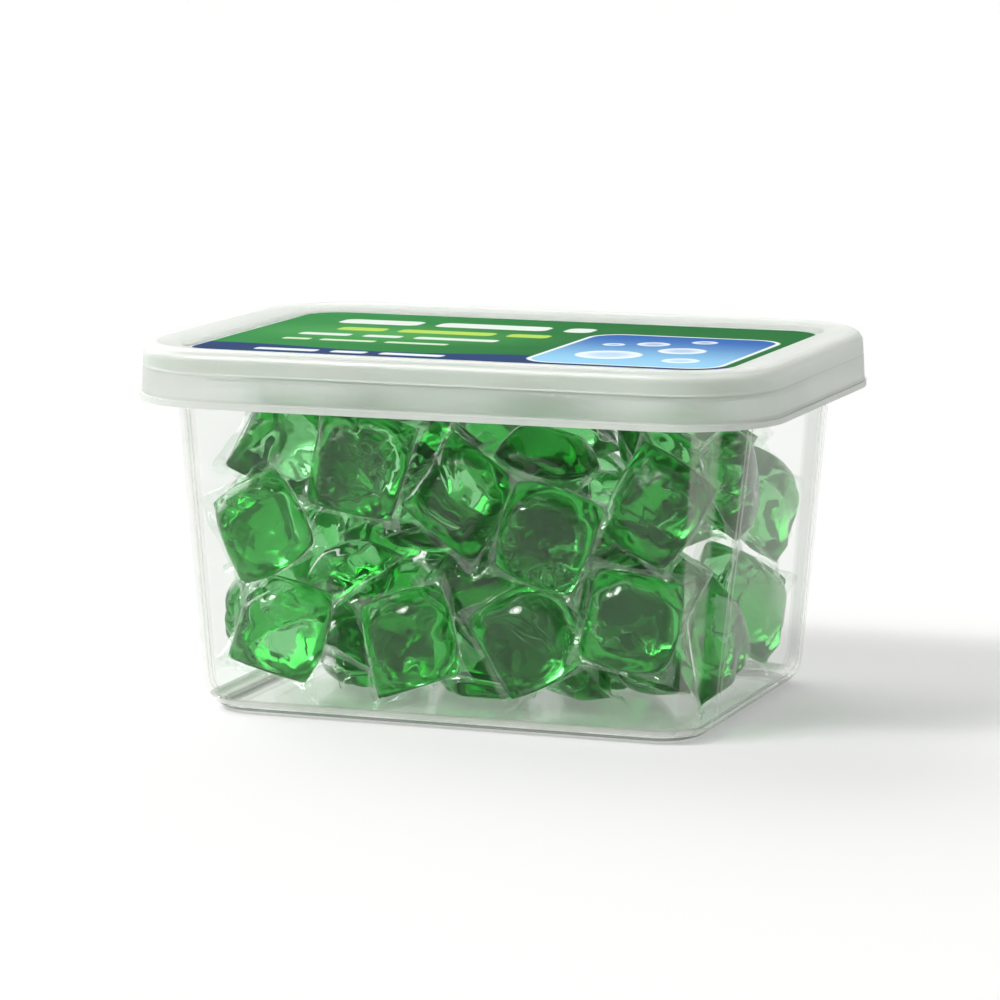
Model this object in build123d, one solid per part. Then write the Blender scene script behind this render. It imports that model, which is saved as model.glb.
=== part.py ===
from build123d import *
import math
import os

import numpy as np

# Deodorizer capsule pack, in millimetres: the front looks along -Y and the base stands on Z = 0
lid_length = 180.0
lid_width = 130.0
pack_height = 100.0

# Tub: thin clear moulding with draft, a rounded base and an out-turned rim
end_overhang = 8.0
side_overhang = 6.75
end_draft = 10.0
side_draft = 5.75
base_corner = 15.0
mouth_corner = 25.0
wall = 1.0
floor_thickness = 1.4
base_edge_radius = 9.0
foot_width = 5.0
foot_recess = 0.5
rim_thickness = 1.0
rim_drop = 4.2
rim_edge_radius = 0.8
rim_gap = 0.3

# Lid: frosted cap with a recessed panel, a crowned ring, a skirt, a snap bead and a lift tab
lid_corner = 28.4
lid_wall = 1.0
skirt_height = 15.3
skirt_draft = 0.8
lid_edge_radius = 3.5
lid_inner_radius = 1.0
crown_rise = 0.8
lip_reach = 0.4
lip_height = 1.6
seat_gap = 0.2
ring_width = 12.5
recess_corner = 13.0
recess_depth = 1.2
bead_reach = 0.4
bead_height = 1.6
tab_reach = 1.5
tab_height = 4.0
tab_angle = 50.0
tab_heading = -45.0

# Label: printed film on the recessed panel
label_end_gap = 2.0
label_side_gap = 3.5
label_corner = 10.5
label_thickness = 0.15

# Capsule: gel pillow sealed between two films, with a flat seal all round
gel_size = 28.5
gel_tall = 8.2
gel_low = 6.3
seal_width = 2.5
seal_thickness = 0.4
seal_corner = 3.5
seal_hollow = 1.2

# Heap of capsules: each one is let down onto what lies below it
heap_space = 8.0
heap_limit = 57
heap_cell = 0.5
heap_gap = 0.15
wall_gap = 0.5
sample_step = 0.35
slide_reach = 5.0
slide_step = 1.0
wall_pull = 2.0
wall_tries = 3
lean_low = 4.0
lean_high = 34.0
turn_spread = 14.0
core_tries = 6
core_step = 3.0
tilt_low = 5.0
tilt_high = 50.0
flat_enough = 0.95
heap_seed = 8

# Sizes that follow from those above
skirt_bottom = pack_height - skirt_height
ring_top = pack_height - crown_rise
panel_top = ring_top - recess_depth
panel_under = panel_top - lid_wall
ring_under = ring_top - lid_wall
tub_height = ring_under - seat_gap
heap_top = tub_height - heap_space
mouth_length = lid_length - 2 * end_overhang
mouth_width = lid_width - 2 * side_overhang
base_length = mouth_length - 2 * end_draft
base_width = mouth_width - 2 * side_draft
recess_length = lid_length - 2 * ring_width
recess_width = lid_width - 2 * ring_width
label_length = recess_length - 2 * label_end_gap
label_width = recess_width - 2 * label_side_gap

os.makedirs("parts", exist_ok=True)


def plate(length, width, corner, z):
    """Rounded rectangle lying at height z."""
    return Plane.XY.offset(z) * RectangleRounded(length, width, corner)


def tub_size(z, inset):
    """Length, width and corner radius of the tub at height z, drawn in by inset."""
    share = z / tub_height
    length = base_length + (mouth_length - base_length) * share - 2 * inset
    width = base_width + (mouth_width - base_width) * share - 2 * inset
    corner = base_corner + (mouth_corner - base_corner) * share - inset
    return length, width, corner


def lid_size(z, inset):
    """Length, width and corner radius of the lid's skirt at height z, drawn in by inset."""
    shrink = lip_reach + skirt_draft * (z - skirt_bottom) / skirt_height + inset
    return lid_length - 2 * shrink, lid_width - 2 * shrink, lid_corner - shrink


def frustum(sections):
    """Solid with straight sides through (size, z) sections."""
    return loft([plate(*size, z) for size, z in sections], ruled=True)


def rounded_at(solid, z, radius):
    """Solid with its edges in the plane at height z rounded."""
    return fillet(solid.edges().filter_by_position(Axis.Z, z, z), radius)


# Tub
shell = frustum([(tub_size(0, 0), 0), (tub_size(tub_height, 0), tub_height)])
shell = rounded_at(shell, 0, base_edge_radius)
rim_size = lid_size(tub_height, lid_wall + rim_gap)
lip_size = lid_size(tub_height, lid_wall + rim_gap + rim_thickness)
rim = extrude(plate(*rim_size, tub_height - rim_drop), rim_drop)
rim = rounded_at(rim, tub_height, rim_edge_radius)
rim -= extrude(plate(*lip_size, tub_height - rim_drop), rim_drop - rim_thickness)
cavity_top = tub_height + wall
cavity_base = (tub_size(floor_thickness, wall), floor_thickness)
cavity = frustum([cavity_base, (tub_size(cavity_top, wall), cavity_top)])
cavity = rounded_at(cavity, floor_thickness, base_edge_radius - wall)
foot_inset = base_edge_radius + foot_width
foot = extrude(plate(*tub_size(0, foot_inset)[:2], base_corner, 0), foot_recess)
tub = shell + rim - cavity - foot
export_step(tub, "parts/tub.step")

# Lid
bead_z = tub_height - rim_drop - bead_height / 2
hollow = frustum([
    (lid_size(skirt_bottom, lid_wall), skirt_bottom),
    (lid_size(bead_z - bead_height / 2, lid_wall), bead_z - bead_height / 2),
    (lid_size(bead_z, lid_wall + bead_reach), bead_z),
    (lid_size(bead_z + bead_height / 2, lid_wall), bead_z + bead_height / 2),
    (lid_size(ring_under, lid_wall), ring_under),
])
hollow = rounded_at(hollow, ring_under, lid_inner_radius)
cap = frustum([(lid_size(skirt_bottom, 0), skirt_bottom), (lid_size(pack_height, 0), pack_height)])
cap = rounded_at(cap, pack_height, lid_edge_radius)
cap += extrude(plate(lid_length, lid_width, lid_corner, skirt_bottom), lip_height)
tab_centre = Pos(lid_length / 2 - lid_corner, lid_corner - lid_width / 2, skirt_bottom)
tab_place = tab_centre * Rot(0, 0, tab_heading - tab_angle / 2)
tab_align = (Align.CENTER, Align.CENTER, Align.MIN)
cap += tab_place * Cylinder(lid_corner + tab_reach, tab_height, arc_size=tab_angle, align=tab_align)
recess_size = (recess_length, recess_width, recess_corner)
crown = frustum([(recess_size, ring_top), (lid_size(pack_height, lid_edge_radius), pack_height)])
recess = extrude(plate(*recess_size, panel_top), ring_top - panel_top)
step_size = [size + 2 * lid_wall for size in recess_size[:2]]
step = extrude(plate(*step_size, recess_corner + lid_wall, panel_under), ring_under - panel_under)
lid = cap - hollow + step - recess - crown
export_step(lid, "parts/lid.step")

# Label
label = extrude(plate(label_length, label_width, label_corner, panel_top), label_thickness)
export_step(label, "parts/label.step")


def gel_bulge(rise):
    """One side of the gel pillow: two crossed vaults, which meet in a ridge towards each corner."""
    half = gel_size / 2
    arch = make_face([ThreePointArc((-half, 0), (0, rise), (half, 0)), Line((-half, 0), (half, 0))])
    vault = extrude(Plane.XZ * arch, half, both=True)
    return vault & Rot(0, 0, 90) * vault


def seal_outline():
    """Outline of the seal: four sides drawn in between the corners, which are rounded."""
    tip = gel_size / 2 + seal_width
    side = tip - seal_hollow
    corners = [(tip, tip), (-tip, tip), (-tip, -tip), (tip, -tip)]
    sides = [(0, side), (-side, 0), (0, -side), (side, 0)]
    arcs = [ThreePointArc(corners[k], sides[k], corners[(k + 1) % 4]) for k in range(4)]
    return fillet(make_face(arcs).vertices(), seal_corner)


def make_capsule():
    """One capsule, centred on its seal, with the taller bulge along +Z."""
    half = seal_thickness / 2
    seal = extrude(seal_outline(), half, both=True)
    return (seal + Pos(0, 0, half) * gel_bulge(gel_tall) + Pos(0, 0, -half) * gel_bulge(-gel_low)).solid()


def surface_points(solid):
    """Points spread over a solid's surface no further apart than the sample step."""
    vertices, triangles = solid.tessellate(heap_gap / 4)
    corners = np.array([tuple(v) for v in vertices])[np.array(triangles)]
    points = []
    for a, b, c in corners:
        longest = max(np.linalg.norm(b - a), np.linalg.norm(c - b), np.linalg.norm(a - c))
        count = math.ceil(longest / sample_step)
        i, j = np.meshgrid(range(count + 1), range(count + 1))
        kept = i + j <= count
        points.append(a + np.outer(i[kept] / count, b - a) + np.outer(j[kept] / count, c - a))
    return np.vstack(points)


def cavity_floor():
    """Height of the tub's inside over each cell of the heap's grid, the drafted walls included."""
    half_x = mouth_length / 2
    half_y = mouth_width / 2
    along = np.arange(-half_x, half_x, heap_cell) + heap_cell / 2
    across = np.arange(-half_y, half_y, heap_cell) + heap_cell / 2
    x, y = np.meshgrid(np.abs(along), np.abs(across), indexing="ij")
    ground = np.full(x.shape, pack_height)
    radius = base_edge_radius - wall
    for z in np.arange(tub_height, floor_thickness, -heap_cell):
        dip = max(radius - (z - floor_thickness), 0)
        inset = wall + wall_gap + radius - math.sqrt(radius**2 - dip**2)
        length, width, corner = tub_size(z, inset)
        out_x = np.maximum(x - length / 2 + corner, 0)
        out_y = np.maximum(y - width / 2 + corner, 0)
        ground[np.hypot(out_x, out_y) <= corner] = z
    return ground


def axes_of(facing, roll):
    """Three axes of a capsule that looks along facing and is turned by roll degrees about it."""
    normal = np.array(facing) / np.linalg.norm(facing)
    level = np.cross([0, 0, 1], normal) if abs(normal[2]) < flat_enough else np.array([1.0, 0, 0])
    level = level - normal * level.dot(normal)
    level /= np.linalg.norm(level)
    rise = np.cross(normal, level)
    angle = math.radians(roll)
    return np.array([
        level * math.cos(angle) + rise * math.sin(angle),
        rise * math.cos(angle) - level * math.sin(angle),
        normal,
    ])


def footprint(axes):
    """Lowest and highest point of a turned capsule in each grid cell, and the cell of its first row."""
    turned = samples @ axes
    cells = np.floor(turned[:, :2] / heap_cell).astype(int)
    first = cells.min(axis=0)
    shape = cells.max(axis=0) - first + 1
    lowest = np.full(shape, np.inf)
    highest = np.full(shape, -np.inf)
    at = tuple((cells - first).T)
    np.minimum.at(lowest, at, turned[:, 2])
    np.maximum.at(highest, at, turned[:, 2])
    return lowest, highest, first


def let_down(options, places, side):
    """Best resting place among the turned options and places, drawn to a wall where side is given."""
    best = None
    for axes in options:
        lowest, highest, first = footprint(axes)
        for x, y in places:
            corner = np.round(np.array([x + mouth_length / 2, y + mouth_width / 2]) / heap_cell).astype(int)
            low_x, low_y = corner + first
            high_x, high_y = corner + first + lowest.shape
            if low_x < 0 or low_y < 0 or high_x > ground.shape[0] or high_y > ground.shape[1]:
                continue
            window = ground[low_x:high_x, low_y:high_y]
            z = (window - lowest).max() + heap_gap
            if z + highest.max() > heap_top:
                continue
            cost = z - wall_pull * (side[0] * x + side[1] * y)
            if best is None or cost < best[0]:
                origin = corner * heap_cell - np.array([mouth_length, mouth_width]) / 2
                best = (cost, (*origin, z), axes, (slice(low_x, high_x), slice(low_y, high_y)), highest + z)
    return best


def settle(options, places, side=(0, 0)):
    """Let one capsule down and add it to the heap, or leave it out where none fits."""
    best = let_down(options, places, side)
    if best is None or len(heap) == heap_limit:
        return False
    origin, axes, window, top = best[1:]
    ground[window] = np.maximum(ground[window], top)
    heap.append(Plane(origin=origin, x_dir=tuple(axes[0]), z_dir=tuple(axes[2])))
    return True


def wall_row(side, stations, rolls):
    """One row of capsules standing against a wall, at stations given as shares of half its length."""
    along = np.array([-side[1], side[0]])
    half = np.array([mouth_length, mouth_width]) / 2
    for share, roll in zip(stations, rolls):
        station = share * (half @ abs(along))
        slack = np.arange(-slide_reach, slide_reach + slide_step, slide_step)
        depths = np.arange(gel_low, gel_size, slide_step)
        places = [along * (station + s) + side * (half @ abs(side) - d) for s in slack for d in depths]
        options = []
        for _ in range(wall_tries):
            turn = math.radians(chance.uniform(-turn_spread, turn_spread))
            lean = math.radians(chance.uniform(lean_low, lean_high))
            flat = side * math.cos(turn) + along * math.sin(turn)
            facing = np.array([*flat * math.cos(lean), math.sin(lean)])
            options.append(axes_of(facing * chance.choice([-1, 1]), roll))
        settle(options, places, side)


def core_layer(count):
    """Capsules lying anyhow in the middle, each in the lowest hollow that takes it."""
    half_x = mouth_length / 2 - gel_size / 2
    half_y = mouth_width / 2 - gel_size / 2
    rows = np.arange(-half_y, half_y, core_step)
    places = [(x, y) for x in np.arange(-half_x, half_x, core_step) for y in rows]
    for _ in range(count):
        options = []
        for _ in range(core_tries):
            tilt = math.radians(chance.uniform(tilt_low, tilt_high))
            heading = chance.uniform(0, 2 * math.pi)
            out = math.sin(tilt)
            facing = (out * math.cos(heading), out * math.sin(heading), math.cos(tilt))
            options.append(axes_of(facing, chance.uniform(0, 90)))
        settle(options, places)


# Capsules
front = np.array([0, -1])
back = np.array([0, 1])
right = np.array([1, 0])
left = np.array([-1, 0])
capsule = make_capsule()
samples = surface_points(capsule)
ground = cavity_floor()
chance = np.random.default_rng(heap_seed)
heap = []
wall_row(front, [-0.61, -0.2, 0.21, 0.61], [12, -20, 30, 8])
wall_row(back, [-0.58, -0.2, 0.2, 0.58], [-25, 15, 40, -10])
wall_row(right, [-0.34, 0.34], [20, -30])
wall_row(left, [-0.34, 0.34], [35, 5])
core_layer(8)
wall_row(front, [-0.68, -0.34, 0.02, 0.37, 0.71], [-30, 10, 50, -15, 25])
wall_row(back, [-0.63, -0.22, 0.2, 0.61], [10, 45, -20, 30])
wall_row(right, [-0.38, 0.24], [-15, 40])
wall_row(left, [-0.24, 0.38], [0, 30])
core_layer(7)
wall_row(front, [-0.71, -0.34, 0.02, 0.39, 0.73], [18, -12, 35, 5, -28])
wall_row(back, [-0.63, -0.22, 0.2, 0.61], [-35, 20, 0, 28])
wall_row(right, [-0.38, 0.34], [30, -10])
wall_row(left, [-0.38, 0.34], [-5, 22])
core_layer(heap_limit - len(heap))
for number, place in enumerate(heap, 1):
    export_step(place.location * capsule, f"parts/capsule_{number:02d}.step")
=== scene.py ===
import math

import bpy
import numpy as np
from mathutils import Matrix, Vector
from mathutils.bvhtree import BVHTree


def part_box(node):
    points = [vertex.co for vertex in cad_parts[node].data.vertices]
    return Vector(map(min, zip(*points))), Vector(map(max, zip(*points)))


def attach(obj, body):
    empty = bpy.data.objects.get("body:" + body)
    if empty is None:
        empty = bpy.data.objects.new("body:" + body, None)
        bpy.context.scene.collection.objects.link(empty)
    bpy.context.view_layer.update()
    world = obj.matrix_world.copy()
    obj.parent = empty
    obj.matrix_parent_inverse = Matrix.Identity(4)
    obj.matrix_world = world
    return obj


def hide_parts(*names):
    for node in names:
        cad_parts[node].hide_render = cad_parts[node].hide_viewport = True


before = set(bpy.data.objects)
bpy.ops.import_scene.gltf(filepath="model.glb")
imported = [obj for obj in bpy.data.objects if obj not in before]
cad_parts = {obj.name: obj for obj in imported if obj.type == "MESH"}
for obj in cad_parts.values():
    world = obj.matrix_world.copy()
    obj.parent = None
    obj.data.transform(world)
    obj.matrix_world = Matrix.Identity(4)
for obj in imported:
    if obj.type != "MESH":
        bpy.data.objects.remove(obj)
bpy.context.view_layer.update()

# The tub: one thin clear moulding with drafted walls, injection moulded in polypropylene.
# It is glossy and nearly colourless, and stands on the narrow ring round its base. A milky veil shows
# where the wall is seen edge on. On the turn of each corner the milk is a painted reflection stripe with a
# painted highlight line where the turn meets the side, and round the foot it is a painted highlight line
# over a painted shade line.
MILLIMETRE = 0.001
tub_rise = 98 * MILLIMETRE
base_half = (72 * MILLIMETRE, 52.5 * MILLIMETRE)
mouth_half = (82 * MILLIMETRE, 58.25 * MILLIMETRE)
base_corner = 15 * MILLIMETRE
mouth_corner = 25 * MILLIMETRE
corner_soft = 1 * MILLIMETRE
# Painted reflection: a milky stripe on the turn of each corner, where the wall begins to curve.
reflection_turn = (math.radians(33), math.radians(56))
reflection_soft = math.radians(2)
# Painted highlight: a thin milky line where the turn of each corner meets the side wall.
corner_highlight_turn = math.radians(88)
corner_highlight_soft = math.radians(1.5)
corner_highlight_width = 0.4 * MILLIMETRE
rim_foot = (93.7 * MILLIMETRE, 93.9 * MILLIMETRE)
foot_reach = (-7.6 * MILLIMETRE, -6.6 * MILLIMETRE)
# Painted highlight line round the foot.
foot_highlight = (3.1 * MILLIMETRE, 0.85 * MILLIMETRE)
# Painted shade line round the foot, below its painted highlight line.
foot_shade = (1.1 * MILLIMETRE, 0.75 * MILLIMETRE)
floor_top = (1.5 * MILLIMETRE, 2.5 * MILLIMETRE)
line_soft = 0.15 * MILLIMETRE
milk_colour = (0.80, 0.79, 0.74, 1)
# Colour of the painted highlight line round the foot.
foot_highlight_colour = (0.93, 0.95, 0.90, 1)
# Colour of the painted shade line round the foot.
shade_colour = (0.11, 0.15, 0.09, 1)
wall_veil = 0.001
cloud_veil = 0.003
cloud_scale = 35.0
edge_veil = 0.15
reflection_veil = 0.16
corner_highlight_veil = 0.30
rim_veil = 0.30
foot_highlight_veil = 0.60
shade_veil = 0.72
floor_veil = 0.08
most_veil = 0.85
wall_mirror = 0.004
edge_mirror = 0.32


class Wire:
    """One socket of a finish; arithmetic on it adds Math nodes."""

    def __init__(self, finish, socket):
        self.finish = finish
        self.socket = socket

    def math(self, operation, *values):
        return self.finish.node("Math", {"operation": operation}, dict(enumerate(values)))

    def __add__(self, other):
        return self.math("ADD", self, other)

    def __sub__(self, other):
        return self.math("SUBTRACT", self, other)

    def __rsub__(self, other):
        return self.math("SUBTRACT", other, self)

    def __mul__(self, other):
        return self.math("MULTIPLY", self, other)

    def __truediv__(self, other):
        return self.math("DIVIDE", self, other)

    def __pow__(self, other):
        return self.math("POWER", self, other)

    def __abs__(self):
        return self.math("ABSOLUTE", self)

    __radd__ = __add__
    __rmul__ = __mul__

    def least(self, other):
        return self.math("MINIMUM", self, other)

    def most(self, other):
        return self.math("MAXIMUM", self, other)

    def fade(self, start, end):
        """0 before start and 1 after end, with a smooth change between."""
        sockets = {"Value": self, "From Min": start, "From Max": end}
        return self.finish.node("MapRange", {"interpolation_type": "SMOOTHSTEP"}, sockets)


class Finish:
    """The nodes of a material, or of the world."""

    def __init__(self, name, world=None):
        self.owner = world or bpy.data.materials.new(name)
        self.owner.use_nodes = True
        self.tree = self.owner.node_tree
        self.tree.nodes.clear()

    def node(self, kind, settings=None, sockets=None, output=0):
        """A node with its settings made first, then its sockets' values or links."""
        made = self.tree.nodes.new("ShaderNode" + kind)
        for name, value in (settings or {}).items():
            setattr(made, name, value)
        for name, value in (sockets or {}).items():
            if isinstance(value, Wire):
                self.tree.links.new(value.socket, made.inputs[name])
            else:
                made.inputs[name].default_value = value
        return Wire(self, made.outputs[output] if made.outputs else None)

    def blend(self, share, first, second):
        """Colour that goes from the first to the second with share."""
        return self.node("Mix", {"data_type": "RGBA"}, {0: share, 6: first, 7: second}, output=2)

    def layers(self, share, under, over):
        """Shader that goes from the one under to the one over with share."""
        return self.node("MixShader", None, {0: share, 1: under, 2: over})

    def place(self):
        """Place on the object, in metres, whole and as its three parts."""
        coordinates = self.node("TexCoord", output="Object")
        split = self.node("SeparateXYZ", None, {0: coordinates})
        return coordinates, [Wire(self, socket) for socket in split.socket.node.outputs]

    def noise(self, coordinates, scale, detail=2.0):
        """Soft noise, mostly near 0.5."""
        return self.node("TexNoise", None, {"Vector": coordinates, "Scale": scale, "Detail": detail})

    def bump(self, height, strength, distance):
        """Normal that leans as if the face had that height."""
        sockets = {"Height": height, "Strength": strength, "Distance": distance}
        return self.node("Bump", None, sockets)

    def done(self, surface, volume=None):
        """The finished material, with a filling where one is given."""
        ends = {"Surface": surface} if volume is None else {"Surface": surface, "Volume": volume}
        self.node("OutputMaterial", None, ends)
        return self.owner


def dress(node, material):
    """Give a piece of the frame its material."""
    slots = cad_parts[node].data.materials
    slots.clear()
    slots.append(material)


def box_field(x, y, middle, half, corner):
    """Distance from a rounded bar seen from above: below 0 is inside."""
    over_x = abs(x - middle[0]) - (half[0] - corner)
    over_y = abs(y - middle[1]) - (half[1] - corner)
    outside = (over_x.most(0.0)**2 + over_y.most(0.0)**2)**0.5
    return outside + over_x.most(over_y).least(0.0) - corner


def line(height, middle, half):
    """1 on a thin line round the piece at that height."""
    return abs(height - middle).fade(half + line_soft, half - line_soft)


def clear_plastic():
    """Clear glossy wall, with the milky veil at its edges, a painted reflection stripe and highlight line
    at each corner, and a painted highlight and shade line round the foot.
    """
    finish = Finish("clear_plastic")
    coordinates, (x, y, z) = finish.place()
    share = z / tub_rise
    radius = base_corner + (mouth_corner - base_corner) * share
    half_x = base_half[0] + (mouth_half[0] - base_half[0]) * share
    half_y = base_half[1] + (mouth_half[1] - base_half[1]) * share
    past_x = abs(x) - (half_x - radius)
    past_y = abs(y) - (half_y - radius)
    turn = finish.node("Math", {"operation": "ARCTAN2"}, {0: past_x, 1: past_y})
    on_corner = past_x.fade(0.0, corner_soft) * past_y.fade(-corner_soft, 0.0)
    # Painted reflection: a milky stripe on the turn of each corner.
    reflection_start = turn.fade(reflection_turn[0], reflection_turn[0] + reflection_soft)
    reflection_end = turn.fade(reflection_turn[1] - reflection_soft, reflection_turn[1])
    reflection_band = reflection_start * (1 - reflection_end)
    # Painted highlight: a thin milky line where the turn of each corner meets the side wall.
    corner_highlight = turn.fade(corner_highlight_turn - corner_highlight_soft, corner_highlight_turn) * past_y.fade(-corner_highlight_width, 0.0)
    foot = box_field(x, y, (0.0, 0.0), (half_x, half_y), radius).fade(*foot_reach)
    # Painted highlight line round the foot.
    foot_highlit = foot * line(z, *foot_highlight)
    # Painted shade line round the foot.
    painted_foot_shade = foot * line(z, *foot_shade)
    on_floor = (1 - foot) * (1 - z.fade(*floor_top))
    edge_on = finish.node("LayerWeight", None, {"Blend": 0.5}, output="Facing")
    veil = wall_veil + cloud_veil * finish.noise(coordinates, cloud_scale) + edge_veil * edge_on**3
    veil = veil + on_corner * (reflection_veil * reflection_band + corner_highlight_veil * corner_highlight) + rim_veil * z.fade(*rim_foot)
    veil = veil + foot_highlight_veil * foot_highlit + shade_veil * painted_foot_shade + floor_veil * on_floor
    # The milk turns pale on the painted highlight line and dark on the painted shade line round the foot.
    tone = finish.blend(foot_highlit, milk_colour, foot_highlight_colour)
    tone = finish.blend(painted_foot_shade, tone, shade_colour)
    milk = finish.node("BsdfPrincipled", None, {"Base Color": tone, "Roughness": 0.3})
    clear = finish.node("BsdfTransparent", None, {"Color": (0.99, 0.995, 0.99, 1)})
    mirror = finish.node("BsdfGlossy", None, {"Color": (1, 1, 1, 1), "Roughness": 0.05})
    body = finish.layers(veil.least(most_veil), clear, milk)
    return finish.done(finish.layers(wall_mirror + edge_mirror * edge_on**5, body, mirror))


dress("tub", clear_plastic())

# The capsules: green gel sealed between two clear soluble films, formed and sealed on a drum.
# The film pulls in between the corners, creases towards them and ends in a thin crinkled seal.
# They lie loose in the tub, so each one stands where its solid lies.
solid_half = 14.25 * MILLIMETRE
gel_half = 14.4 * MILLIMETRE
gel_cells = 36
seal_cells = 4
seal_thickness = 0.28 * MILLIMETRE
square_corners = ((1, 1), (-1, 1), (-1, -1), (1, -1))
arch_power = 0.85
pillow_powers = (3, 0.75)
corner_shift = 0.9 * MILLIMETRE
corner_shift_power = 1.5
corner_round = (0.3, 0.6)
seal_round = 0.7
gel_pull = (0.2 * MILLIMETRE, 1.6 * MILLIMETRE)
film_pull = (1.2 * MILLIMETRE, 2.0 * MILLIMETRE)
edge_wave = 0.025
edge_orders = (9, 14, 23)
curl_reach = 3.0 * MILLIMETRE
curl_power = 1.4
curl_orders = (5, 7, 11, 16)
curl_room = 0.5
tip_curl = 1.6
tip_power = 4
tip_orders = (2, 3)
twist = 2.8 * MILLIMETRE
twist_share = 1
saddle_share = 0.5
plump = 2.0 * MILLIMETRE
lean = 0.16
fold_depth = 1.9 * MILLIMETRE
fold_aim = 0.4
fold_crease = (0.55, 0.045)
fold_shoulder = (0.45, 0.18)
corner_start = (0.78, 0.95)
corner_stray = 0.18
corner_run = (0.5, 0.95)
corner_strength = (0.3, 1.0)
side_folds = 2
side_start = 0.95
side_run = (0.3, 0.8)
side_strength = (0.3, 0.9)
fold_ease = 0.2
pucker_depth = 0.5 * MILLIMETRE
pucker_orders = (13, 19, 26)
pucker_reach = 0.55
dents = 2
dent_depth = 0.7 * MILLIMETRE
dent_spread = 0.6
dent_size = (0.3, 0.5)
least_gel = 0.1
swell_steps = 3
clearance = 0.03 * MILLIMETRE
tip_band = 0.05 * MILLIMETRE
near_by = 3 * MILLIMETRE
gel_cloud = 0.08
gel_pass = 0.5
crinkle_scale = 260.0
crinkle_depth = 0.8 * MILLIMETRE
crinkle_peaks = (0.5, 0.75)
film_veil = 0.02
crinkle_veil = 0.14
film_mirror = 0.05
film_edge_mirror = 0.75


def gel_glass():
    """Clear green gel: light that goes further through it comes out a deeper green."""
    finish = Finish("green_gel")
    gel = finish.node("BsdfPrincipled", None, {
        "Base Color": (0.97, 1.0, 0.97, 1),
        "Roughness": 0.0,
        "IOR": 1.5,
        "Transmission Weight": 1.0,
    })
    cloud = finish.node("BsdfTranslucent", None, {"Color": (0.45, 0.92, 0.50, 1)})
    passed = finish.node("BsdfTransparent", None, {"Color": (0.80, 0.95, 0.82, 1)})
    shade = finish.node("LightPath", output="Is Shadow Ray")
    body = finish.layers(gel_cloud, gel, cloud)
    depth = finish.node("VolumeAbsorption", None, {"Color": (0.30, 0.80, 0.375, 1), "Density": 114.0})
    return finish.done(finish.layers(shade * gel_pass, body, passed), depth)


def seal_film():
    """Clear crinkled film of the seal: bright where it mirrors, with a faint milky veil."""
    finish = Finish("clear_film")
    coordinates = finish.node("TexCoord", output="Object")
    crinkle = finish.noise(coordinates, crinkle_scale, 3.0)
    creased = finish.bump(crinkle, 0.5, crinkle_depth)
    edge_on = finish.node("LayerWeight", None, {"Blend": 0.5, "Normal": creased}, output="Facing")
    clear = finish.node("BsdfTransparent", None, {"Color": (0.97, 0.995, 0.975, 1)})
    milk = finish.node("BsdfPrincipled", None, {
        "Base Color": (0.90, 0.96, 0.90, 1),
        "Roughness": 0.2,
        "Normal": creased,
    })
    glow = finish.node("BsdfTranslucent", None, {"Color": (0.90, 0.97, 0.90, 1), "Normal": creased})
    mirror = finish.node("BsdfGlossy", None, {
        "Color": (1, 1, 1, 1),
        "Roughness": 0.05,
        "Normal": creased,
    })
    veil = film_veil + crinkle_veil * crinkle.fade(*crinkle_peaks)
    body = finish.layers(veil, clear, finish.layers(0.5, milk, glow))
    return finish.done(finish.layers(film_mirror + film_edge_mirror * edge_on**4, body, mirror))


def vertices_of(node):
    """Vertices of a piece of the frame."""
    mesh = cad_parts[node].data
    places = np.empty(len(mesh.vertices) * 3)
    mesh.vertices.foreach_get("co", places)
    return places.reshape(-1, 3)


def faces_of(node):
    """Faces of a piece of the frame."""
    return [tuple(face.vertices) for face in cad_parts[node].data.polygons]


def lie_of(node):
    """Centre and axes of a capsule from its seal's four corners, and how far it rises on each side."""
    places = vertices_of(node)
    about = places - places.mean(axis=0)
    normal = np.linalg.svd(about, full_matrices=False)[2][2]
    flat = about - np.outer(about @ normal, normal)
    heading = flat[np.argmax((flat**2).sum(axis=1))]
    heading /= np.linalg.norm(heading)
    across = np.cross(normal, heading)
    tips = []
    for direction in (heading, across, -heading, -across):
        reach = flat @ direction
        tips.append(places[reach > reach.max() - tip_band].mean(axis=0))
    centre = np.mean(tips, axis=0)
    heading = tips[0] - tips[2]
    heading /= np.linalg.norm(heading)
    normal = np.cross(heading, tips[1] - tips[3])
    normal /= np.linalg.norm(normal)
    rise = (places - centre) @ normal
    if rise.max() < -rise.min():
        normal = -normal
        rise = -rise
    first = (heading + np.cross(normal, heading)) / math.sqrt(2)
    axes = np.array([first, np.cross(normal, first), normal])
    return centre, axes, rise.max(), -rise.min()


def arch(t):
    """Rise of one of the solid's vaults, 1 in the middle and 0 at the seal."""
    return np.maximum(1 - t**2, 0)**arch_power


def pillow(u, v):
    """Rise of a plump pillow: nearly flat in the middle, with soft shoulders down to 0 at the seal."""
    steep, full = pillow_powers
    return (np.maximum(1 - np.abs(u)**steep, 0) * np.maximum(1 - np.abs(v)**steep, 0))**full


def fold_from(start, run, strength, chance):
    """A fold that runs inwards from its start, as (start, end, depth)."""
    aim = chance.uniform(-fold_aim, fold_aim, 2)
    end = start + (aim - start) * chance.uniform(*run)
    return start, end, chance.uniform(*strength)


def folds(chance):
    """Folds of one side: one from near each corner, and some from the sides."""
    lines = []
    for corner in square_corners:
        start = np.array(corner) * chance.uniform(*corner_start)
        start = start + chance.uniform(-corner_stray, corner_stray, 2)
        lines.append(fold_from(start, corner_run, corner_strength, chance))
    for _ in range(side_folds):
        heading = chance.uniform(0, 2 * math.pi)
        out = np.array([math.cos(heading), math.sin(heading)])
        start = out / np.abs(out).max() * side_start
        lines.append(fold_from(start, side_run, side_strength, chance))
    return lines


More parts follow.
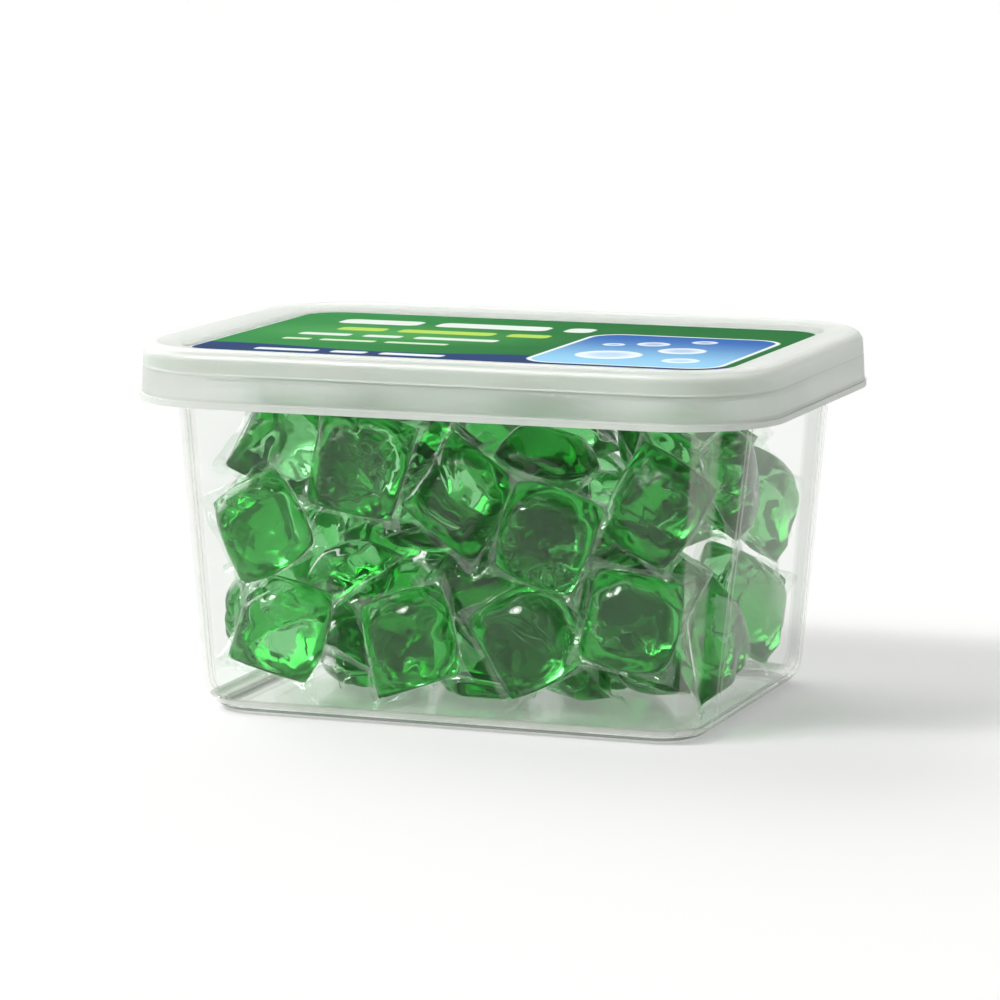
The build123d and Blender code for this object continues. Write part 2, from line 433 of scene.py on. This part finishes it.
def folded(u, v, lines):
    """How deep the folds are at a place: a narrow bottom with wide shoulders, fading inwards."""
    depth = np.zeros_like(u)
    for start, end, strength in lines:
        run = end - start
        along = np.clip(((u - start[0]) * run[0] + (v - start[1]) * run[1]) / (run @ run), 0, 1)
        gap = np.hypot(u - start[0] - along * run[0], v - start[1] - along * run[1])
        crease = fold_crease[0] * np.exp(-gap / fold_crease[1])
        shoulder = fold_shoulder[0] * np.exp(-(gap / fold_shoulder[1])**2)
        depth = np.maximum(depth, strength * (crease + shoulder) * (1 - along**2))
    return depth


def ripple(orders, chance, around):
    """Smooth wave round the seal, between -1 and 1."""
    total = np.zeros_like(around)
    for order in orders:
        total += np.sin(order * around + chance.uniform(0, 2 * math.pi)) / len(orders)
    return total


def bulge(u, v, around, chance):
    """Height of one side of the gel as a share of its crown, and how far its folds draw it in."""
    slope = chance.uniform(-lean, lean, 2)
    crown = pillow(u, v) * (1 + slope[0] * u + slope[1] * v)
    rim = 1 - np.maximum(np.abs(u), np.abs(v))
    ease = np.clip(rim / fold_ease, 0, 1)
    drawn = fold_depth * folded(u, v, folds(chance))
    puckers = np.abs(ripple(pucker_orders, chance, around))
    drawn += pucker_depth * puckers * np.clip(1 - rim / pucker_reach, 0, 1)
    for _ in range(dents):
        spot = chance.uniform(-dent_spread, dent_spread, 2)
        size = chance.uniform(*dent_size)
        drawn += dent_depth * np.exp(-((u - spot[0])**2 + (v - spot[1])**2) / size**2)
    return crown, drawn * ease


def outline(u, v, past, around, seal_width, chance):
    """Places over the capsule's flat: gel out to 1 and its seal out to 2, drawn in between the corners."""
    in_u = np.clip(u, -1, 1)
    in_v = np.clip(v, -1, 1)
    pulls = zip(chance.uniform(*gel_pull, 4), chance.uniform(*film_pull, 4))
    pull = [of_gel + past * (of_film - of_gel) for of_gel, of_film in pulls]
    rounding = chance.uniform(*corner_round) * (1 - seal_round * past) / 2
    x = gel_half * in_u * np.sqrt(1 - rounding * in_v**2)
    y = gel_half * in_v * np.sqrt(1 - rounding * in_u**2)
    x = x - (1 - in_v**2) * in_u * np.where(u > 0, pull[0], pull[1]) * np.abs(in_u)
    y = y - (1 - in_u**2) * in_v * np.where(v > 0, pull[2], pull[3]) * np.abs(in_v)
    x = x + (u - in_u) * seal_width
    y = y + (v - in_v) * seal_width
    for corner in square_corners:
        near = (1 + corner[0] * in_u) * (1 + corner[1] * in_v) / 4
        shift = chance.uniform(0, corner_shift, 2)
        x = x - corner[0] * shift[0] * near**corner_shift_power
        y = y - corner[1] * shift[1] * near**corner_shift_power
    inwards = 1 - edge_wave * past * (0.5 + 0.5 * ripple(edge_orders, chance, around))
    return x * inwards, y * inwards


def room_at(places, up, others):
    """Gap from each place to the neighbours, below 0 inside one, and how far towards up the nearest
    one lies, from -1 to 1."""
    gaps = []
    slants = []
    for place in places:
        near, facing, _, gap = others.find_nearest(place)
        away = near - Vector(place)
        gaps.append(gap if away.dot(facing) < 0 else -gap)
        slants.append(away.dot(up) / max(gap, clearance))
    return np.array(gaps) - clearance, np.array(slants)


def swelled(level, spare, sign, lift, room):
    """Level raised by spare, as far as the room between it and its neighbours lets both swell."""
    swell = np.zeros_like(level)
    margin = np.zeros_like(level)
    growing = spare > clearance
    margin[growing] = np.maximum(room(sign * level + lift, growing)[0], 0)
    for step in range(1, swell_steps + 1):
        rise = spare * step / swell_steps
        gaps, slants = room(sign * (level + rise) + lift, growing)
        left = gaps - rise[growing] * np.maximum(sign * slants, 0)
        before = margin[growing]
        part = np.where(left < 0, before / np.maximum(before - left, clearance), 1)
        swell[growing] += part * spare[growing] / swell_steps
        margin[growing] = left
        growing = growing & (margin >= 0)
    return level + swell


def closed_skin(name, places):
    """Mesh of an upper and a lower skin joined round their edge, with the seal in the second finish."""
    cells = gel_cells + 2 * seal_cells
    count = cells + 1
    index = np.arange(count * count).reshape(count, count)
    under = count * count
    faces = []
    finishes = []
    for i in range(cells):
        for j in range(cells):
            quad = [int(k) for k in (index[i, j], index[i + 1, j], index[i + 1, j + 1], index[i, j + 1])]
            sealed = min(i, j) < seal_cells or max(i, j) >= cells - seal_cells
            faces += [quad, [under + k for k in reversed(quad)]]
            finishes += [int(sealed)] * 2
    loop = [*index[:-1, 0], *index[-1, :-1], *index[:0:-1, -1], *index[0, :0:-1]]
    for a, b in zip(loop, loop[1:] + loop[:1]):
        faces.append([int(b), int(a), int(under + a), int(under + b)])
        finishes.append(1)
    mesh = bpy.data.meshes.new(name)
    mesh.from_pydata(places.tolist(), [], faces)
    mesh.polygons.foreach_set("material_index", finishes)
    mesh.polygons.foreach_set("use_smooth", [True] * len(faces))
    mesh.update()
    return mesh


def capsule_mesh(name, node, chance, others):
    """One capsule: gel that swells into the room round its solid, and a crinkled seal."""
    centre, axes, tall, low = lie_of(node)
    seal_width = np.abs((vertices_of(node) - centre) @ axes[:2].T).max() - gel_half
    steps = np.concatenate([
        np.linspace(-2, -1, seal_cells, endpoint=False),
        np.linspace(-1, 1, gel_cells, endpoint=False),
        np.linspace(1, 2, seal_cells + 1),
    ])
    u, v = np.meshgrid(steps, steps, indexing="ij")
    in_u = np.clip(u, -1, 1)
    in_v = np.clip(v, -1, 1)
    past = np.clip(np.maximum(np.abs(u), np.abs(v)) - 1, 0, 1)
    around = np.arctan2(v, u)
    x, y = outline(u, v, past, around, seal_width, chance)

    def room(height, chosen):
        """Gaps and slants at the chosen points of a skin at that height over the seal."""
        return room_at(np.stack([x, y, height], axis=-1)[chosen] @ axes + centre, axes[2], others)

    curl = ripple(curl_orders, chance, around)
    curl = curl + tip_curl * np.abs(in_u * in_v)**tip_power * ripple(tip_orders, chance, around)
    bend = chance.uniform(-twist_share, twist_share) * in_u * in_v
    bend = bend + chance.uniform(-saddle_share, saddle_share) * (in_u**2 - in_v**2)
    lift = past**curl_power * curl * curl_reach + twist * bend
    vault = np.minimum(arch(x / solid_half), arch(y / solid_half))
    everywhere = np.ones(x.shape, dtype=bool)
    above, below = [room(rise * vault, everywhere)[0].reshape(x.shape) for rise in (tall, -low)]
    lift = np.clip(lift, -curl_room * np.maximum(below, 0), curl_room * np.maximum(above, 0))
    skins = []
    for height, sign in ((tall, 1), (low, -1)):
        crown, drawn = bulge(in_u, in_v, around, chance)
        held = height * vault
        wanted = height * crown + plump * pillow(in_u, in_v)
        level = swelled(np.minimum(wanted, held), np.maximum(wanted - held, 0), sign, lift, room)
        level = np.maximum(level - drawn, least_gel * held)
        skin = sign * np.maximum(level, seal_thickness / 2) + lift
        skins.append(np.stack([x, y, skin], axis=-1).reshape(-1, 3))
    return closed_skin(name, np.vstack(skins) @ axes + centre)


capsules = sorted(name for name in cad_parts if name.startswith("capsule_"))
boxes = {node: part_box(node) for node in capsules}


def neighbours_of(node):
    """The capsules close to one, and the tub, as a tree in which gaps are measured."""
    low, high = boxes[node]
    beside = []
    for other in capsules:
        other_low, other_high = boxes[other]
        apart = max(max(low[k] - other_high[k], other_low[k] - high[k]) for k in range(3))
        if other != node and apart < near_by:
            beside.append(other)
    places = []
    faces = []
    for other in (*beside, "tub"):
        faces += [tuple(k + len(places) for k in face) for face in faces_of(other)]
        places += vertices_of(other).tolist()
    return BVHTree.FromPolygons(places, faces)


gel = gel_glass()
film = seal_film()
for number, node in enumerate(capsules, 1):
    name = f"pod_{number:02d}"
    mesh = capsule_mesh(name, node, np.random.default_rng(number), neighbours_of(node))
    pod = bpy.data.objects.new(name, mesh)
    bpy.context.scene.collection.objects.link(pod)
    mesh.materials.append(gel)
    mesh.materials.append(film)
    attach(pod, "tub")
    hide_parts(node)

# The lid: a press-fit cap moulded in the same plastic, with a frosted face that scatters light.
# The skirt has painted highlight lines along its rounded top edge and at the lip, each with a painted
# shade line beside it, and the lip's lower edge is painted white as a highlight. The tub's rim and the
# shade of the gel show softly through its skirt, the rim as a pale line with a painted shade line below
# it.
lid_half = (90 * MILLIMETRE, 65 * MILLIMETRE)
lid_corner = 28.4 * MILLIMETRE
edge_inset = (-2.9 * MILLIMETRE, -2.3 * MILLIMETRE)
# Painted highlight line along the rounded top edge, and a painted shade line just above it.
edge_highlight = (98.45 * MILLIMETRE, 0.30 * MILLIMETRE)
edge_shade = (99.15 * MILLIMETRE, 0.25 * MILLIMETRE)
# A pale line for the tub's rim seen through the skirt, and a painted shade line just below it.
rim_line = (93.95 * MILLIMETRE, 0.20 * MILLIMETRE)
rim_shade = (93.45 * MILLIMETRE, 0.25 * MILLIMETRE)
# Painted highlight line at the lip, and a painted shade line just above it; below lip_top the lip's lower
# edge is painted white as a highlight.
lip_highlight = (86.45 * MILLIMETRE, 0.20 * MILLIMETRE)
lip_shade = (86.95 * MILLIMETRE, 0.30 * MILLIMETRE)
lip_top = (86.0 * MILLIMETRE, 86.3 * MILLIMETRE)
band_stretch = (1, 1, 0.05)
band_scale = 28.0
band_edges = (0.35, 0.65)
grain_scale = 900.0
grain_depth = 0.3 * MILLIMETRE
pale_frost = (0.77, 0.80, 0.76, 1)
band_frost = (0.67, 0.74, 0.68, 1)
upper_frost = (0.74, 0.85, 0.77, 1)
# Colours of the painted highlight lines and of the painted shade lines.
bright_frost = (0.96, 0.97, 0.95, 1)
shaded_frost = (0.40, 0.48, 0.41, 1)
upper_share = 0.7
lip_share = 0.6
shaded_share = 0.45
frost_veil = 0.18
frost_band_veil = 0.17
frost_edge_veil = 0.35
frost_line_veil = 0.55
frost_lip_veil = 0.40
frost_shade_veil = 0.15
frost_most_veil = 0.95
frost_glow = 0.35
lid_pass = 0.5


def frosted_plastic():
    """Frosted wall: milky and soft, half see-through, with broad upright bands in the skirt and painted
    highlight and shade lines round it.
    """
    finish = Finish("frosted_plastic")
    coordinates, (x, y, z) = finish.place()
    skirt = box_field(x, y, (0.0, 0.0), lid_half, lid_corner).fade(*edge_inset)
    stretched = finish.node("Mapping", None, {"Vector": coordinates, "Scale": band_stretch})
    bands = finish.noise(stretched, band_scale, 1.0).fade(*band_edges) * skirt
    grain = finish.bump(finish.noise(coordinates, grain_scale, 3.0), 0.10, grain_depth)
    edge_on = finish.node("LayerWeight", None, {"Blend": 0.4}, output="Facing")
    # The lip's lower edge, painted white as a highlight.
    lip = 1 - z.fade(*lip_top)
    # Painted highlight lines along the top edge and the lip, and the pale line of the tub's rim seen
    # through.
    bright = skirt * (line(z, *edge_highlight) + line(z, *rim_line) + line(z, *lip_highlight)).least(1.0)
    # Painted shade lines beside them.
    shaded = skirt * (line(z, *edge_shade) + line(z, *rim_shade) + line(z, *lip_shade)).least(1.0)
    upper = skirt * z.fade(rim_shade[0], rim_line[0])
    tone = finish.blend(bands, pale_frost, band_frost)
    tone = finish.blend(upper_share * upper, tone, upper_frost)
    # The frost turns near white on the painted highlights and dark grey-green on the painted shade lines.
    tone = finish.blend(bright.most(lip_share * lip), tone, bright_frost)
    tone = finish.blend(shaded_share * shaded, tone, shaded_frost)
    frost = finish.node("BsdfPrincipled", None, {
        "Base Color": tone,
        "Roughness": 0.34,
        "IOR": 1.45,
        "Normal": grain,
    })
    glow = finish.node("BsdfTranslucent", None, {"Color": (0.84, 0.86, 0.82, 1)})
    through = finish.node("BsdfPrincipled", None, {
        "Base Color": (0.97, 0.99, 0.97, 1),
        "Roughness": 0.36,
        "IOR": 1.45,
        "Transmission Weight": 1.0,
    })
    passed = finish.node("BsdfTransparent", None, {"Color": (0.92, 0.94, 0.92, 1)})
    shade = finish.node("LightPath", output="Is Shadow Ray")
    veil = frost_veil + frost_band_veil * bands + frost_edge_veil * edge_on**2
    veil = veil + frost_line_veil * bright + frost_lip_veil * lip + frost_shade_veil * shaded
    milk = finish.layers(frost_glow, frost, glow)
    body = finish.layers(veil.least(frost_most_veil), through, milk)
    return finish.done(finish.layers(shade * lid_pass, body, passed))


dress("lid", frosted_plastic())

# The label: a printed film laid in the lid's recess, with a satin face.
# The print is plain fields: a green ground with a navy wave, pale bars, and a blue panel of
# bubbles in a pale frame.
label_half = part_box("label")[1].x
print_soft = 0.4 * MILLIMETRE
left_green = (0.022, 0.24, 0.05, 1)
right_green = (0.006, 0.14, 0.025, 1)
glow_green = (0.10, 0.42, 0.10, 1)
glow_middle = (-35 * MILLIMETRE, 4 * MILLIMETRE)
glow_reach = 60 * MILLIMETRE
glow_flatness = 2.2
glow_share = 0.55
wave_navy = (0.008, 0.04, 0.14, 1)
wave_place = -31 * MILLIMETRE
wave_height = 3 * MILLIMETRE
wave_turn = 70.0
bar_round = 0.6
bar_rows = (
    (29, 5.0, (0.76, 0.82, 0.76, 1), ((-60, -36), (-31, 2), (7, 15))),
    (12, 3.6, (0.45, 0.68, 0.10, 1), ((-54, -40), (-36, -8), (-4, 8))),
    (-2, 2.6, (0.72, 0.82, 0.72, 1), ((-60, -45), (-41, -30), (-26, -2))),
    (-14, 1.8, (0.62, 0.80, 0.55, 1), ((-60, -52), (-49, -33), (-30, -12))),
    (-38, 2.2, (0.78, 0.85, 0.90, 1), ((-58, -40), (-36, -26), (-22, -4))),
)
panel_middle = (45 * MILLIMETRE, -8 * MILLIMETRE)
panel_half = (26 * MILLIMETRE, 32 * MILLIMETRE)
panel_corner = 8 * MILLIMETRE
panel_fade = (-40 * MILLIMETRE, 24 * MILLIMETRE)
panel_low = (0.30, 0.62, 0.85, 1)
panel_high = (0.02, 0.12, 0.42, 1)
panel_frame = (0.88, 0.93, 0.88, 1)
frame_width = 1.2 * MILLIMETRE
bubble_white = (0.92, 0.97, 1.0, 1)
bubble_shine = (0.35, 0.5)
bubble_fade = (0.2, 1.0)
bubbles = (
    ((36, -20), 9.0), ((52, -6), 6.5), ((40, 6), 4.5),
    ((58, -26), 5.0), ((52, 14), 3.5), ((30, 2), 3.0),
)
satin = (0.38, 0.08)
satin_scale = 90.0
face_grain_scale = 700.0
face_grain_depth = 0.2 * MILLIMETRE


def printed_film():
    """Satin film with its print: ground, wave, rows of bars, and the panel of bubbles."""
    finish = Finish("printed_film")
    coordinates, (x, y, _) = finish.place()

    def inside(field):
        """1 where a field is below 0, with the print's soft edge."""
        return field.fade(print_soft, -print_soft)

    glow = ((x - glow_middle[0])**2 + (glow_flatness * (y - glow_middle[1]))**2)**0.5
    ink = finish.blend(x.fade(-label_half, 0.5 * label_half), left_green, right_green)
    ink = finish.blend(glow_share * glow.fade(glow_reach, 0.0), ink, glow_green)
    swell = finish.node("Math", {"operation": "SINE"}, {0: x * wave_turn})
    ink = finish.blend(inside(y - wave_place - wave_height * swell), ink, wave_navy)
    for height, half, colour, bars in bar_rows:
        for begin, close in bars:
            middle = ((begin + close) / 2 * MILLIMETRE, height * MILLIMETRE)
            reach = ((close - begin) / 2 * MILLIMETRE, half * MILLIMETRE)
            bar = box_field(x, y, middle, reach, bar_round * half * MILLIMETRE)
            ink = finish.blend(inside(bar), ink, colour)
    panel = box_field(x, y, panel_middle, panel_half, panel_corner)
    water = finish.blend(y.fade(*panel_fade), panel_low, panel_high)
    for middle, size in bubbles:
        radius = size * MILLIMETRE
        away_x = x - middle[0] * MILLIMETRE
        away_y = y - middle[1] * MILLIMETRE
        reach = (away_x**2 + away_y**2)**0.5
        shine = bubble_shine[0] + bubble_shine[1] * (reach / radius).fade(*bubble_fade)
        water = finish.blend(inside(reach - radius) * shine, water, bubble_white)
    ink = finish.blend(inside(panel - frame_width), ink, panel_frame)
    ink = finish.blend(inside(panel), ink, water)
    grain = finish.noise(coordinates, face_grain_scale)
    face = finish.node("BsdfPrincipled", None, {
        "Base Color": ink,
        "Roughness": satin[0] + satin[1] * finish.noise(coordinates, satin_scale),
        "IOR": 1.04,
        "Normal": finish.bump(grain, 0.05, face_grain_depth),
    })
    return finish.done(face)


dress("label", printed_film())

# The studio: a plain white floor in an even pale sky, with a soft key lamp at the upper left and a
# weaker one behind. The camera stands a little to the right of the front, slightly above the lid.
scene = bpy.context.scene
scene.view_settings.view_transform = "Standard"
scene.cycles.max_bounces = 8
scene.cycles.transparent_max_bounces = 12
scene.cycles.glossy_bounces = 3
scene.cycles.diffuse_bounces = 2
floor_half = 8.0
floor_white = (0.90, 0.90, 0.895, 1)
floor_glow = 0.38
glow_white = (0.985, 0.985, 0.975, 1)
sky_white = (0.985, 0.985, 0.977, 1)
ambient = 0.22
key_heading = Vector((-0.477, -0.491, 0.731)).normalized()
key_strength = 13.5
key_angles = (13, 9)
back_heading = Vector((-0.70, 0.45, 0.56)).normalized()
back_strength = 3.0
back_angles = (34, 22)
sun_strength = 0.80
sun_angle = 7.0
camera_azimuth = math.radians(20.13)
camera_elevation = math.radians(8.82)
camera_aim = Vector((0, 0, 0.05406))
camera_distance = 1.2429
camera_lens = 163.65
camera_sensor = 36.0
camera_shift = (-0.00706, 0.0010)


def seen_ray(finish):
    """1 for what the camera sees directly, mirrored or through clear pieces."""
    path = finish.node("LightPath").socket.node
    names = ("Is Camera Ray", "Is Glossy Ray", "Is Transmission Ray")
    direct, mirrored, through = [Wire(finish, path.outputs[name]) for name in names]
    return direct.most(mirrored).most(through)


def white_floor():
    """Matt white that takes the shadow, with a glow that only the camera's rays see."""
    finish = Finish("white_floor")
    matt = finish.node("BsdfDiffuse", None, {"Color": floor_white})
    glow = finish.node("Emission", None, {"Color": glow_white, "Strength": 1.0})
    return finish.done(finish.layers(floor_glow * seen_ray(finish), matt, glow))


floor_mesh = bpy.data.meshes.new("floor")
floor_corners = [(a * floor_half, b * floor_half, 0) for a, b in square_corners]
floor_mesh.from_pydata(floor_corners, [], [(0, 1, 2, 3)])
floor_mesh.materials.append(white_floor())
floor = bpy.data.objects.new("floor", floor_mesh)
scene.collection.objects.link(floor)

scene.world = bpy.data.worlds.new("studio")
sky = Finish("studio", scene.world)
sky_direction = sky.node("TexCoord", output="Generated")


def soft_lamp(heading, strength, angles):
    """Strength of a round lamp in the sky that fades out between the two angles."""
    sockets = {0: sky_direction, 1: heading}
    towards = sky.node("VectorMath", {"operation": "DOT_PRODUCT"}, sockets, output="Value")
    rim, middle = [math.cos(math.radians(angle)) for angle in angles]
    return strength * towards.fade(rim, middle)


key_lamp = soft_lamp(key_heading, key_strength, key_angles)
back_lamp = soft_lamp(back_heading, back_strength, back_angles)
direct = sky.node("LightPath", output="Is Camera Ray")
strength = ambient + (1.0 - ambient) * seen_ray(sky) + (key_lamp + back_lamp) * (1 - direct)
backdrop = sky.node("Background", None, {"Color": sky_white, "Strength": strength})
sky.node("OutputWorld", None, {"Surface": backdrop})

sun = bpy.data.lights.new("key", "SUN")
sun.energy = sun_strength
sun.angle = math.radians(sun_angle)
key = bpy.data.objects.new("key", sun)
key.rotation_mode = "QUATERNION"
key.rotation_quaternion = key_heading.to_track_quat("Z", "Y")
scene.collection.objects.link(key)

level_reach = math.cos(camera_elevation)
towards_camera = Vector((
    math.sin(camera_azimuth) * level_reach,
    -math.cos(camera_azimuth) * level_reach,
    math.sin(camera_elevation),
))
view = bpy.data.cameras.new("camera")
view.lens = camera_lens
view.sensor_width = camera_sensor
view.shift_x, view.shift_y = camera_shift
camera = bpy.data.objects.new("camera", view)
camera.location = camera_aim + towards_camera * camera_distance
camera.rotation_mode = "QUATERNION"
camera.rotation_quaternion = towards_camera.to_track_quat("Z", "Y")
scene.collection.objects.link(camera)
scene.camera = camera
